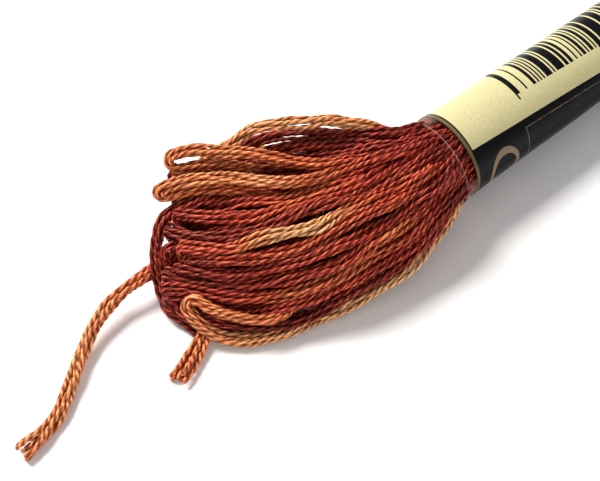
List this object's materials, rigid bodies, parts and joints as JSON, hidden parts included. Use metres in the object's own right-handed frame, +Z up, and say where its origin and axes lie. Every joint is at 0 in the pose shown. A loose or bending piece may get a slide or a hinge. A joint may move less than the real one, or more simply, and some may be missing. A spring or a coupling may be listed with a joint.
{
  "type": "skein of embroidery floss",
  "caption": "Skein of variegated stranded cotton embroidery floss held at its waist by a glossy printed sleeve, a fan of loops at each end and two loose thread ends",
  "frame": {"origin": "on the surface the skein lies on, under the middle of the box of the hank and its sleeve, without the two loose ends", "axes": "X along the skein, with the two loose ends at -X; Z up; Y across"},
  "size_m": [0.1726, 0.0381, 0.0151],
  "materials": {
    "dyed_cotton": "mercerised cotton with a soft sheen, dyed from maroon through brick red to orange and gold along the thread",
    "printed_sleeve": "glossy film printed cream and black, clear at its edges",
    "loose_cotton": "the same cotton where it is dyed orange, its yarns opening at the cut tips"
  },
  "bodies": {
    "root": {"hank": "dyed_cotton", "band": "printed_sleeve", "long_end": "loose_cotton", "short_end": "loose_cotton"}
  },
  "joints": []
}
